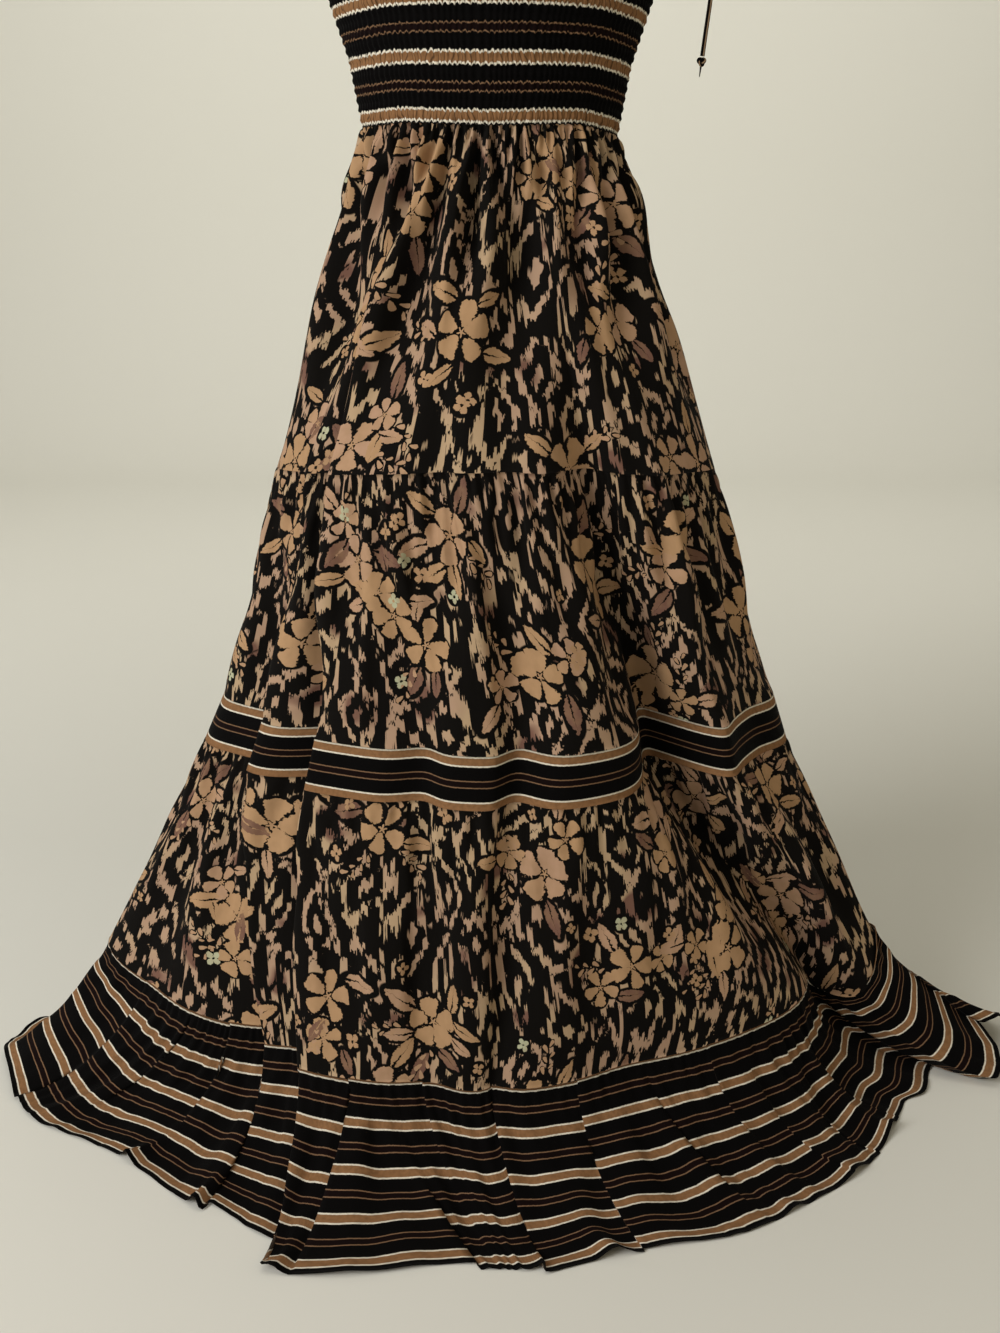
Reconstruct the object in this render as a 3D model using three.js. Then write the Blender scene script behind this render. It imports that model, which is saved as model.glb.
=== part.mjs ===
// Maxi dress in its worn shape: a smocked bodice on shoulder ties, a skirt of three gathered tiers with a
// striped band let in above the third, and a striped hem ruffle that spreads over the floor.
// Millimetres, +Z up. The wearer faces -Y, and +X is the right of whoever looks at the front.
// The origin is the centre of the waist, where the wearer holds the dress up.
import * as THREE from 'three';

// ---------------------------------------------------------------- driving sizes
const FLOOR = -1000; // height of the floor below the waist
const CLOTH = 1.5; // thickness of a cloth wall
const SMOCKING = 2.2; // thickness of the smocked bodice
const SEAM_GAP = 0.3; // gap between two pieces at a seam
const FRONT_COLUMNS = 44; // columns of facets on each front piece
const BACK_COLUMNS = 36; // columns of facets on each back piece
const ARC_STEPS = 360; // fine steps that measure each half ring before it is divided
const MITRE_LIMIT = 1.5; // greatest lengthening of the wall's thickness at a sharp fold

const KNOT_RADIUS = 7; // shoulder knot
const SHOULDER = { x: 150, y: 4, z: 386 }; // centre of the shoulder knot on the +X side
const STRAP = { width: 8, thickness: 2.4, angle: 42, steps: 10 }; // where each strap leaves the neckline
const TAIL = { diameter: 5, sides: 8, knotRadius: 4.5, tip: 9 }; // ends of the shoulder ties

// ---------------------------------------------------------------- rings of the dress
// A row for each level: its height at the front, the side and the back, its reach from its own centre to the side,
// the front and the back, that centre, and its roundness in front and behind. A roundness of 2 is an ellipse, and
// less draws it towards a diamond.
const SECTION_ROWS = [
  ['neckline', 200, 172, 160, 147, 108, 90, 0, 2, 2],
  ['bust', 138, 128, 122, 154, 116, 94, 0, 2, 2],
  ['ribs', 60, 58, 56, 130, 98, 88, 0, 2, 2],
  ['waist', 0, 0, 0, 119, 86, 86, 0, 2, 2],
  ['tierSeam', -306, -326, -310, 219, 152, 160, 5, 1.9, 1.9],
  ['bandTop', -566, -566, -566, 289, 192, 190, 8, 1.75, 1.8],
  ['bandBottom', -618, -617, -618, 309, 199, 197, 5, 1.7, 1.8],
  ['ruffleSeam', -904, -872, -900, 427, 228, 228, 0, 1.45, 1.65],
  ['hem', FLOOR, FLOOR, FLOOR, 584, 362, 330, 28, 1.45, 1.6],
];
const SECTIONS = Object.fromEntries(
  SECTION_ROWS.map(([name, zFront, zSide, zBack, half, front, back, centre, power, backPower]) => [
    name,
    { zFront, zSide, zBack, half, front, back, centre, power, backPower },
  ]),
);

// A row for each large fold: its name, its angles and its depths by levels, and the widths of its two flanks in
// degrees, so a narrow one is a sharp edge. The levels are the waist, the tier seam, the band, the ruffle seam and
// the hem. Angles are in degrees from the front, positive towards +X, and depths are positive outwards.
const FOLD_ROWS = [
  ['left side', [-62, -68, -68, -66, -64], [0, -6, -14, -8, 20], 9, 8],
  ['left second', [-45, -58, -57, -40, -37.5], [0, -8, -24, -12, 20], 8, 2.2],
  ['left edge', [-30, -47, -40.5, -33.4, -28.5], [0, -14, -30, -16, -26], 8, 2.2],
  ['left front', [-20, -30, -30, -29, -28], [0, 0, 0, 16, 62], 8, 13],
  ['left of centre', [-12, -15, -17.5, -14, -12], [0, -8, -16, -10, -4], 5, 4],
  ['centre', [3, 4, 6, 2, 4], [0, -7, -22, -12, 6], 5, 5],
  ['right of centre', [24, 12, 16, 26, 28], [0, 6, 4, -8, 12], 6, 7],
  ['right valley', [16, 28, 45.5, 71, 57], [0, -32, -92, -56, -50], 11, 3.6],
  ['right ridge', [32, 44, 50, 80, 63], [0, 7, 10, 6, -18], 3.5, 6],
  ['right flap', [60, 66, 70, 73, 69.3], [0, 0, 0, 0, -66], 10, 2.2],
  ['right side', [60, 66, 68, 84, 88], [0, -6, -14, 0, -56], 14, 9],
  ['back right', [118, 120, 124, 120, 118], [0, -14, -32, -22, -12], 9, 7],
  ['back right ridge', [140, 140, 139, 138, 138], [0, 5, 8, 12, 8], 6, 6],
  ['back right centre', [158, 156, 154, 152, 152], [0, -10, -26, -34, -16], 6, 4],
  ['back centre', [184, 182, 178, 180, 182], [0, 6, 10, 14, 16], 8, 8],
  ['back left centre', [204, 206, 203, 206, 208], [0, -16, -38, -42, -26], 4, 7],
  ['back left', [238, 240, 236, 240, 244], [0, -14, -30, -38, -30], 5, 8],
];
const FOLDS = FOLD_ROWS.map(([name, angles, depths, left, right]) => ({ name, angles, depths, left, right }));

// A row for each piece of the dress from the top down: the rings that it joins, its rows of facets and its cloth.
const PIECES = [
  { name: 'bodice', from: 'neckline', to: 'waist', rows: ['neckline', 'bust', 'ribs', 'waist'], cloth: 'stripe' },
  { name: 'tier1', from: 'waist', to: 'tierSeam', levels: [0, 1], steps: 4, cloth: 'print' },
  { name: 'tier2', from: 'tierSeam', to: 'bandTop', levels: [1, 2], steps: 4, cloth: 'print' },
  { name: 'band', from: 'bandTop', to: 'bandBottom', levels: [2, 2], steps: 1, cloth: 'stripe' },
  { name: 'tier3', from: 'bandBottom', to: 'ruffleSeam', levels: [2, 3], steps: 5, cloth: 'print' },
  { name: 'ruffle', from: 'ruffleSeam', to: 'hem', levels: [3, 4], steps: 5, cloth: 'stripe' },
];

// The ruffle turns from hanging to lying: it drops early and reaches out late.
const RUFFLE_DROP = 1.9;
const RUFFLE_REACH = 1.4;

// A row for each end of a shoulder tie: its side, its length down from the knot and the points that it passes,
// counted outwards from the shoulder knot.
const TAILS = [
  {
    name: 'right_long',
    side: 1,
    route: [[0, 0, 0], [16, 0, 5], [32, 0, 0], [46, 0, -16], [54, 0, -42], [57, -1, -80], [58.5, -2, -130],
      [58, -3, -180], [56.5, -3, -230], [53, -3, -276], [49, -3, -312], [47, -3, -330]],
  },
  {
    name: 'right_short',
    side: 1,
    route: [[0, 0, 0], [8, 15, 4], [12, 30, -4], [14, 42, -22], [15, 48, -50], [15, 51, -84], [14, 53, -118]],
  },
  {
    name: 'left_long',
    side: -1,
    route: [[0, 0, 0], [14, 2, 5], [29, 4, 0], [42, 6, -17], [49, 8, -42], [52, 9, -80], [53, 9, -124],
      [52, 9, -160]],
  },
  {
    name: 'left_short',
    side: -1,
    route: [[0, 0, 0], [7, 15, 4], [11, 30, -5], [13, 41, -24], [14, 46, -52], [14, 49, -88], [13, 50, -112]],
  },
];

const COLOURS = {
  print: { color: 0x5a4736, roughness: 0.85 },
  stripe: { color: 0x2a211b, roughness: 0.85 },
  tie: { color: 0x3b2d23, roughness: 0.8 },
};

// ---------------------------------------------------------------- plan of a ring
const radians = (degrees) => (degrees * Math.PI) / 180;
const mix = (a, b, share) => a + (b - a) * share;
const signedPower = (value, power) => Math.sign(value) * Math.abs(value) ** power;

// The value of a list by levels at a level between two of them.
function atLevel(values, level) {
  const below = Math.min(Math.floor(level), values.length - 2);
  return mix(values[below], values[below + 1], level - below);
}

// How far the large folds move the ring out at an angle.
function foldReach(angle, level) {
  let reach = 0;
  for (const fold of FOLDS) {
    const turn = angle - atLevel(fold.angles, level);
    const offset = turn - 360 * Math.round(turn / 360);
    const flank = offset < 0 ? fold.left : fold.right;
    reach += atLevel(fold.depths, level) * Math.exp(-((offset / flank) ** 2));
  }
  return reach;
}

// A point of a section's ring at an angle from the front, with its large folds.
function ringPoint(section, level, angle) {
  const sine = Math.sin(radians(angle));
  const cosine = Math.cos(radians(angle));
  const facing = cosine > 0;
  const depth = facing ? section.front : section.back;
  const height = facing ? section.zFront : section.zBack;
  const power = facing ? section.power : section.backPower;
  const across = signedPower(sine, 2 / power);
  const forward = signedPower(cosine, 2 / power);
  const outX = signedPower(across, power - 1) / section.half;
  const outY = signedPower(forward, power - 1) / depth;
  const reach = foldReach(angle, level) / Math.hypot(outX, outY);
  return new THREE.Vector3(
    section.centre + section.half * across + outX * reach,
    -depth * forward - outY * reach,
    mix(section.zSide, height, cosine ** 2),
  );
}

// A half ring divided evenly along its own length, as the cloth is.
function halfRing(section, level, start, columns) {
  const fine = [];
  for (let i = 0; i <= ARC_STEPS; i += 1) fine.push(ringPoint(section, level, start + (180 * i) / ARC_STEPS));
  const run = [0];
  for (let i = 1; i <= ARC_STEPS; i += 1) {
    run.push(run[i - 1] + Math.hypot(fine[i].x - fine[i - 1].x, fine[i].y - fine[i - 1].y));
  }
  const points = [];
  let i = 1;
  for (let column = 0; column < columns; column += 1) {
    const target = (run[ARC_STEPS] * column) / columns;
    while (run[i] < target) i += 1;
    points.push(fine[i - 1].clone().lerp(fine[i], (target - run[i - 1]) / (run[i] - run[i - 1])));
  }
  return points;
}

// A whole ring: the front columns from the -X side seam, then the back columns from the +X side seam.
function ring(section, level) {
  return [...halfRing(section, level, -90, FRONT_COLUMNS), ...halfRing(section, level, 90, BACK_COLUMNS)];
}

function mixSections(from, to, share) {
  return Object.fromEntries(Object.keys(from).map((key) => [key, mix(from[key], to[key], share)]));
}

// ---------------------------------------------------------------- rows of rings down the dress
function bodiceRows(piece) {
  return piece.rows.map((name) => ring(SECTIONS[name], 0));
}

function tierRows(piece) {
  const rows = [];
  for (let step = 0; step <= piece.steps; step += 1) {
    const share = step / piece.steps;
    const section = mixSections(SECTIONS[piece.from], SECTIONS[piece.to], share);
    rows.push(ring(section, mix(...piece.levels, share)));
  }
  return rows;
}

// The ruffle is divided along its length from the seam's ring to the hem's, lying lower and wider step by step.
function ruffleRows(piece) {
  const top = ring(SECTIONS[piece.from], piece.levels[0]);
  const hem = ring(SECTIONS[piece.to], piece.levels[1]);
  const rows = [];
  for (let step = 0; step <= piece.steps; step += 1) {
    const share = step / piece.steps;
    rows.push(top.map((point, column) => new THREE.Vector3(
      mix(point.x, hem[column].x, share ** RUFFLE_REACH),
      mix(point.y, hem[column].y, share ** RUFFLE_REACH),
      FLOOR + CLOTH + (point.z - FLOOR - CLOTH) * (1 - share) ** RUFFLE_DROP,
    )));
  }
  return rows;
}

function rowsOf(piece) {
  if (piece.name === 'bodice') return bodiceRows(piece);
  return piece.name === 'ruffle' ? ruffleRows(piece) : tierRows(piece);
}

// ---------------------------------------------------------------- walls
// The outward normal of each point of a grid of rings, lengthened at sharp folds so that the wall keeps its
// thickness, up to the mitre limit.
function gridNormals(grid) {
  const columns = grid[0].length;
  return grid.map((row, r) => row.map((point, c) => {
    const before = row[(c + columns - 1) % columns].clone().sub(point).normalize();
    const after = row[(c + 1) % columns].clone().sub(point).normalize();
    const down = grid[Math.min(r + 1, grid.length - 1)][c].clone().sub(grid[Math.max(r - 1, 0)][c]);
    const along = after.clone().sub(before).normalize();
    const normal = down.cross(along).normalize();
    const opening = Math.sqrt(Math.max((1 - before.dot(after)) / 2, 1 / MITRE_LIMIT ** 2));
    return normal.divideScalar(opening);
  }));
}

// The point a small way from one grid point towards its neighbour.
function towards(from, to, distance) {
  return from.clone().add(to.clone().sub(from).setLength(distance));
}

// One piece's wall: the grid's rows and columns between its seams, half a gap short of each seam.
function wallGeometry(grid, normals, rows, columns, thickness, openRows) {
  const total = grid[0].length;
  const vertices = [];
  const [firstRow, lastRow] = rows;
  const [firstColumn, lastColumn] = columns;
  const wide = lastColumn - firstColumn + 1;
  const high = lastRow - firstRow + 1;
  for (let r = firstRow; r <= lastRow; r += 1) {
    for (let c = firstColumn; c <= lastColumn; c += 1) {
      const at = (row, column) => grid[row][column % total];
      let point = at(r, c).clone();
      if (c === firstColumn) point = towards(point, at(r, c + 1), SEAM_GAP / 2);
      if (c === lastColumn) point = towards(point, at(r, c - 1), SEAM_GAP / 2);
      const isSeamAbove = r === firstRow && !openRows.top;
      const isSeamBelow = r === lastRow && !openRows.bottom;
      if (isSeamAbove) point.add(towards(at(r, c), at(r + 1, c), SEAM_GAP / 2).sub(at(r, c)));
      if (isSeamBelow) point.add(towards(at(r, c), at(r - 1, c), SEAM_GAP / 2).sub(at(r, c)));
      const inner = point.clone().addScaledVector(normals[r][c % total], -thickness);
      inner.z = Math.max(inner.z, FLOOR);
      vertices.push(point, inner);
    }
  }
  const faces = [];
  const outer = (r, c) => 2 * (r * wide + c);
  const inner = (r, c) => outer(r, c) + 1;
  const quad = (a, b, c, d) => faces.push(a, b, c, a, c, d);
  for (let r = 0; r < high - 1; r += 1) {
    for (let c = 0; c < wide - 1; c += 1) {
      quad(outer(r, c), outer(r + 1, c), outer(r + 1, c + 1), outer(r, c + 1));
      quad(inner(r, c), inner(r, c + 1), inner(r + 1, c + 1), inner(r + 1, c));
    }
    quad(outer(r, 0), inner(r, 0), inner(r + 1, 0), outer(r + 1, 0));
    quad(outer(r, wide - 1), outer(r + 1, wide - 1), inner(r + 1, wide - 1), inner(r, wide - 1));
  }
  for (let c = 0; c < wide - 1; c += 1) {
    quad(outer(0, c), outer(0, c + 1), inner(0, c + 1), inner(0, c));
    quad(outer(high - 1, c), inner(high - 1, c), inner(high - 1, c + 1), outer(high - 1, c + 1));
  }
  return meshGeometry(vertices, faces);
}

function meshGeometry(vertices, faces) {
  const geometry = new THREE.BufferGeometry();
  const numbers = vertices.flatMap((vertex) => vertex.toArray());
  geometry.setAttribute('position', new THREE.Float32BufferAttribute(numbers, 3));
  geometry.setIndex(faces);
  return geometry;
}

function material(kind) {
  return new THREE.MeshStandardMaterial({ ...COLOURS[kind], metalness: 0 });
}

function namedMesh(name, geometry, kind) {
  const mesh = new THREE.Mesh(geometry, material(kind));
  mesh.name = name;
  return mesh;
}

// ---------------------------------------------------------------- shoulder ties
// A flat strip of cloth along a curve, its width turned about the curve from one direction to another.
function stripGeometry(curve, steps, width, thickness, startAcross, endAcross) {
  const vertices = [];
  for (let step = 0; step <= steps; step += 1) {
    const share = step / steps;
    const centre = curve.getPointAt(share);
    const tangent = curve.getTangentAt(share);
    const across = startAcross.clone().lerp(endAcross, share).setLength(width / 2);
    const out = tangent.clone().cross(across).setLength(thickness / 2);
    for (const [side, face] of [[1, 1], [-1, 1], [-1, -1], [1, -1]]) {
      vertices.push(centre.clone().addScaledVector(across, side).addScaledVector(out, face));
    }
  }
  const faces = [0, 2, 1, 0, 3, 2];
  for (let step = 0; step < steps; step += 1) {
    for (let side = 0; side < 4; side += 1) {
      const a = 4 * step + side;
      const b = 4 * step + ((side + 1) % 4);
      faces.push(a, b, b + 4, a, b + 4, a + 4);
    }
  }
  const last = 4 * steps;
  faces.push(last, last + 1, last + 2, last, last + 2, last + 3);
  return meshGeometry(vertices, faces);
}

function shoulderKnot(side) {
  return new THREE.Vector3(side * SHOULDER.x, SHOULDER.y, SHOULDER.z);
}

// The strap from the neckline at an angle up to the shoulder knot, its foot lying along the neckline's rim.
function strapGeometry(side, angle) {
  const neckline = (turn) => ringPoint(SECTIONS.neckline, 0, side * turn);
  const foot = neckline(angle);
  const knot = shoulderKnot(side);
  const inward = new THREE.Vector3(foot.x, foot.y, 0).setLength(SMOCKING / 2);
  const start = foot.clone().sub(inward).add(new THREE.Vector3(0, 0, 3 * SEAM_GAP));
  const middle = start.clone().lerp(knot, 0.5).add(new THREE.Vector3(side * 4, 10 * Math.sign(start.y), 4));
  const end = towards(knot, middle, KNOT_RADIUS + SEAM_GAP);
  const rim = neckline(angle + 1).sub(neckline(angle - 1)).multiplyScalar(Math.sign(-foot.y)).normalize();
  const curve = new THREE.CatmullRomCurve3([start, middle, end]);
  return stripGeometry(curve, STRAP.steps, STRAP.width, STRAP.thickness, rim, new THREE.Vector3(side, 0, 0));
}

function tailCurve(tail) {
  const knot = shoulderKnot(tail.side);
  const points = tail.route.map(([out, back, up]) => new THREE.Vector3(
    knot.x + tail.side * out,
    knot.y + back,
    knot.z + up,
  ));
  points[0] = towards(knot, points[1], KNOT_RADIUS + SEAM_GAP);
  return new THREE.CatmullRomCurve3(points);
}

// A round cord along its route, in steps of two and a half diameters.
function tailGeometry(curve) {
  const section = new THREE.Shape();
  for (let side = 0; side < TAIL.sides; side += 1) {
    const turn = radians((360 * side) / TAIL.sides);
    const at = [(Math.cos(turn) * TAIL.diameter) / 2, (Math.sin(turn) * TAIL.diameter) / 2];
    if (side === 0) section.moveTo(...at);
    else section.lineTo(...at);
  }
  const steps = Math.round(curve.getLength() / (2.5 * TAIL.diameter));
  return new THREE.ExtrudeGeometry(section, { extrudePath: curve, steps, bevelEnabled: false });
}

// The overhand knot at a tail's end with its short point, turned on one profile and hung along the tail.
function endKnotMesh(name, curve) {
  const radius = TAIL.knotRadius;
  const profile = [new THREE.Vector2(0, radius)];
  for (let step = 1; step <= 5; step += 1) {
    const turn = radians(90 - 25 * step);
    profile.push(new THREE.Vector2(radius * Math.cos(turn), radius * Math.sin(turn)));
  }
  profile.push(new THREE.Vector2(1.8, -radius * 1.1));
  profile.push(new THREE.Vector2(0, -radius - TAIL.tip));
  const geometry = new THREE.LatheGeometry(profile.reverse(), 10);
  const mesh = namedMesh(name, geometry, 'tie');
  const down = curve.getTangentAt(1);
  mesh.quaternion.setFromUnitVectors(new THREE.Vector3(0, -1, 0), down);
  mesh.position.copy(curve.getPointAt(1)).addScaledVector(down, radius + SEAM_GAP);
  return mesh;
}

// ---------------------------------------------------------------- the dress
function clothMeshes() {
  const grid = [];
  const spans = [];
  for (const piece of PIECES) {
    const rows = rowsOf(piece);
    const first = Math.max(grid.length - 1, 0);
    grid.push(...(grid.length ? rows.slice(1) : rows));
    spans.push({ piece, rows: [first, grid.length - 1] });
  }
  const normals = gridNormals(grid);
  const meshes = [];
  for (const { piece, rows } of spans) {
    const thickness = piece.name === 'bodice' ? SMOCKING : CLOTH;
    const open = { top: piece.name === 'bodice', bottom: piece.name === 'ruffle' };
    const halves = { front: [0, FRONT_COLUMNS], back: [FRONT_COLUMNS, FRONT_COLUMNS + BACK_COLUMNS] };
    for (const [half, columns] of Object.entries(halves)) {
      const geometry = wallGeometry(grid, normals, rows, columns, thickness, open);
      meshes.push(namedMesh(`${piece.name}_${half}`, geometry, piece.cloth));
    }
  }
  return meshes;
}

function tieMeshes() {
  const meshes = [];
  for (const [sideName, side] of [['right', 1], ['left', -1]]) {
    meshes.push(namedMesh(`strap_front_${sideName}`, strapGeometry(side, STRAP.angle), 'tie'));
    meshes.push(namedMesh(`strap_back_${sideName}`, strapGeometry(side, 180 - STRAP.angle), 'tie'));
    const knot = namedMesh(`shoulder_knot_${sideName}`, new THREE.SphereGeometry(KNOT_RADIUS, 12, 8), 'tie');
    knot.position.copy(shoulderKnot(side));
    meshes.push(knot);
  }
  for (const tail of TAILS) {
    const curve = tailCurve(tail);
    meshes.push(namedMesh(`tie_tail_${tail.name}`, tailGeometry(curve), 'tie'));
    meshes.push(endKnotMesh(`tie_end_${tail.name}`, curve));
  }
  return meshes;
}

const dress = new THREE.Group();
dress.add(...clothMeshes(), ...tieMeshes());

export default dress;
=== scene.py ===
"""Looks of the maxi dress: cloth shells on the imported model's form, with gathers, smocking, folds and print.

Metres, +Z up. The wearer faces -Y, and the origin is the centre of the waist. The tables of rings, folds and
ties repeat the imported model's own sizes in millimetres, and each shell stands for the piece of the same name.
"""

import math

import bpy
import numpy as np
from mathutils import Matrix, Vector


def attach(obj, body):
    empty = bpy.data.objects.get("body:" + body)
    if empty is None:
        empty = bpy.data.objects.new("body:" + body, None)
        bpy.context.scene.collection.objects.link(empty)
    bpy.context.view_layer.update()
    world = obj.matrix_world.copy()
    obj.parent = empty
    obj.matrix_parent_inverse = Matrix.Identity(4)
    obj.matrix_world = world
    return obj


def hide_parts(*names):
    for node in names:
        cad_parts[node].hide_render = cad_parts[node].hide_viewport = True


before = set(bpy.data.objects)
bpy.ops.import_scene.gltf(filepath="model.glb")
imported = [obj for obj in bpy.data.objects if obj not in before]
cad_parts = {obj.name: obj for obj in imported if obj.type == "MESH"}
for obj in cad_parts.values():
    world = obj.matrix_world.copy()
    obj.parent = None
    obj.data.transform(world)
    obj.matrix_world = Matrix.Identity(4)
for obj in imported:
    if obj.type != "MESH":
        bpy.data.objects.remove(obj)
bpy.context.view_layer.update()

MM = 0.001
FLOOR = -1.0
CLOTH = 0.0008  # thickness of the cloth
SMOCKED_CLOTH = 0.001  # and of the bodice's, between its puckers
SEED = 11

# ---------------- camera, stage and light
CAMERA_PLACE = (0.0093, -1.497, -0.054)
CAMERA_TILT = 72.05  # degrees up from straight down
CAMERA_LENS = 40.5


def link(obj):
    bpy.context.scene.collection.objects.link(obj)
    return obj


def make_camera():
    data = bpy.data.cameras.new("camera")
    data.lens = CAMERA_LENS
    data.clip_start = 0.05
    camera = link(bpy.data.objects.new("camera", data))
    camera.location = CAMERA_PLACE
    camera.rotation_euler = (math.radians(CAMERA_TILT), 0, 0)
    bpy.context.scene.camera = camera


def linear(hex_colour):
    """A colour as it is written for the screen, in the renderer's linear values."""
    parts = [int(hex_colour[i : i + 2], 16) / 255 for i in (0, 2, 4)]
    return [c / 12.92 if c <= 0.04045 else ((c + 0.055) / 1.055) ** 2.4 for c in parts] + [1.0]


def make_stage():
    """A pale floor that curves up into a pale wall, so far behind the dress that a camera can go round it."""
    half_width, front, bend, height, radius, steps = 6.0, -5.0, 3.4, 4.0, 1.0, 12
    profile = [(front, FLOOR)]
    for step in range(steps + 1):
        turn = math.radians(90 * step / steps)
        profile.append((bend + radius * math.sin(turn), FLOOR + radius * (1 - math.cos(turn))))
    profile.append((bend + radius, height))
    vertices = [(x, y, z) for y, z in profile for x in (-half_width, half_width)]
    faces = [(2 * i, 2 * i + 1, 2 * i + 3, 2 * i + 2) for i in range(len(profile) - 1)]
    mesh = bpy.data.meshes.new("floor")
    mesh.from_pydata(vertices, [], faces)
    mesh.shade_smooth()
    floor = link(bpy.data.objects.new("floor", mesh))
    material = bpy.data.materials.new("floor")
    material.use_nodes = True
    shader = material.node_tree.nodes["Principled BSDF"]
    shader.inputs["Base Color"].default_value = linear("E3E3DB")
    shader.inputs["Roughness"].default_value = 0.95
    mesh.materials.append(material)


def area_light(name, place, target, size, watts, colour):
    data = bpy.data.lights.new(name, "AREA")
    data.shape = "RECTANGLE"
    data.size, data.size_y = size
    data.energy = watts
    data.color = linear(colour)[:3]
    light = link(bpy.data.objects.new(name, data))
    light.location = place
    light.rotation_euler = (Vector(target) - Vector(place)).to_track_quat("-Z", "Y").to_euler()


# The window gives the main light, from the left in front, and the fill a weak warm one from the right. The
# bounce brightens the floor on the left, the wash the wall, and the overhead the whole.
LIGHTS = [
    # name, place, target, size, watts, colour
    ("window", (-2.3, -2.2, 1.1), (0, 0, -0.5), (1.6, 2.0), 82, "FFFCFA"),
    ("fill", (2.6, -1.6, 0.9), (0, 0, -0.5), (2.0, 2.0), 7, "FFDFA4"),
    ("bounce", (-2.4, 0.6, -0.3), (-1.1, 1.5, -1.0), (1.0, 0.8), 6, "FFFFFF"),
    ("wash", (0.1, 1.6, 1.6), (0.1, 4.4, 0.5), (5.0, 0.8), 52, "FFFAF2"),
    ("overhead", (-0.3, -0.4, 2.6), (0, 0, -0.6), (2.5, 2.5), 22, "FFFAF2"),
]


def make_lights():
    """The lights, and a pale warm surround."""
    for light in LIGHTS:
        area_light(*light)
    world = bpy.data.worlds.new("surround")
    world.use_nodes = True
    background = world.node_tree.nodes["Background"]
    background.inputs["Color"].default_value = linear("F0EAD8")
    background.inputs["Strength"].default_value = 0.27
    bpy.context.scene.world = world
    bpy.context.scene.view_settings.view_transform = "Standard"


# ---------------- the form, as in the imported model, in millimetres
SECTION_COLUMNS = ("z_front", "z_side", "z_back", "half", "front", "back", "centre", "power", "back_power")
SECTIONS = {
    "neckline": (200, 172, 160, 147, 108, 90, 0, 2, 2),
    "bust": (138, 128, 122, 154, 116, 94, 0, 2, 2),
    "ribs": (60, 58, 56, 130, 98, 88, 0, 2, 2),
    "waist": (0, 0, 0, 119, 86, 86, 0, 2, 2),
    "tier_seam": (-306, -326, -310, 219, 152, 160, 5, 1.9, 1.9),
    "band_top": (-566, -566, -566, 289, 192, 190, 8, 1.75, 1.8),
    "band_bottom": (-618, -617, -618, 309, 199, 197, 5, 1.7, 1.8),
    "ruffle_seam": (-904, -872, -900, 427, 228, 228, 0, 1.45, 1.65),
    "hem": (-1000, -1000, -1000, 584, 362, 330, 28, 1.45, 1.6),
}

# The large folds. Angles in degrees from the front and depths in millimetres are given at the waist, the tier
# seam, the band, the ruffle seam and the hem, and left and right are the widths of the two flanks. Where the
# right flank is 0 the cloth on the right lies over the fold, in a step from one column to the next.
FOLDS = [
    # name, angles by level, depths by level, left, right
    ("left side", (-62, -68, -68, -66, -64), (0, -6, -14, -8, 20), 9, 8),
    ("left second", (-45, -58, -57, -40, -37.5), (0, -8, -24, -12, 20), 8, 0),
    ("left edge", (-30, -47, -40.5, -33.4, -28.5), (0, -14, -30, -16, -26), 8, 0),
    ("left front", (-20, -30, -30, -29, -28), (0, 0, 0, 16, 62), 8, 13),
    ("left of centre", (-12, -15, -17.5, -14, -12), (0, -8, -16, -10, -4), 5, 4),
    ("centre", (3, 4, 6, 2, 4), (0, -7, -22, -12, 6), 5, 5),
    ("right of centre", (24, 12, 16, 26, 28), (0, 6, 4, -8, 12), 6, 7),
    ("right valley", (16, 28, 45.5, 71, 57), (0, -32, -92, -56, -50), 11, 3.6),
    ("right ridge", (32, 44, 50, 80, 63), (0, 7, 10, 6, -18), 3.5, 6),
    ("right flap", (60, 66, 70, 73, 69.3), (0, 0, 0, 0, -66), 10, 0),
    ("right side", (60, 66, 68, 84, 88), (0, -6, -14, 0, -56), 14, 9),
    ("back right", (118, 120, 124, 120, 118), (0, -14, -32, -22, -12), 9, 7),
    ("back right ridge", (140, 140, 139, 138, 138), (0, 5, 8, 12, 8), 6, 6),
    ("back right centre", (158, 156, 154, 152, 152), (0, -10, -26, -34, -16), 6, 4),
    ("back centre", (184, 182, 178, 180, 182), (0, 6, 10, 14, 16), 8, 8),
    ("back left centre", (204, 206, 203, 206, 208), (0, -16, -38, -42, -26), 4, 7),
    ("back left", (238, 240, 236, 240, 244), (0, -14, -30, -38, -30), 5, 8),
]
LEVELS = np.arange(5)
QUARTERS = np.linspace(0, 1, 5)
RUFFLE_DROP = 1.9  # how soon the ruffle comes down to the floor
RUFFLE_REACH = 1.4  # and how late it runs out over it
LYING = FLOOR + 1.3 * MM  # height at which the ruffle lies
LOWEST_OUTSIDE = FLOOR + 1.1 * MM  # lowest height of its right side
LOWEST_INSIDE = FLOOR + 0.2 * MM  # and of any wrong side
ARC_STEPS = 1200  # fine steps that measure each half ring
STEP_ANGLE = 0.02  # the angle that a step in the cloth takes up


def section(name):
    return dict(zip(SECTION_COLUMNS, SECTIONS[name]))


def mix(a, b, share):
    return a + (b - a) * share


def mix_sections(a, b, share):
    return {key: mix(a[key], b[key], share) for key in a}


def signed_power(value, power):
    return np.sign(value) * np.abs(value) ** power


def fold_reach(angles, level):
    reach = np.zeros_like(angles)
    for _, places, depths, left, right in FOLDS:
        turn = angles - np.interp(level, LEVELS, places)
        offset = turn - 360 * np.round(turn / 360)
        flank = np.where(offset <= 0, left, max(right, STEP_ANGLE / 4))
        reach += np.interp(level, LEVELS, depths) * np.exp(-((offset / flank) ** 2))
    return reach


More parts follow.
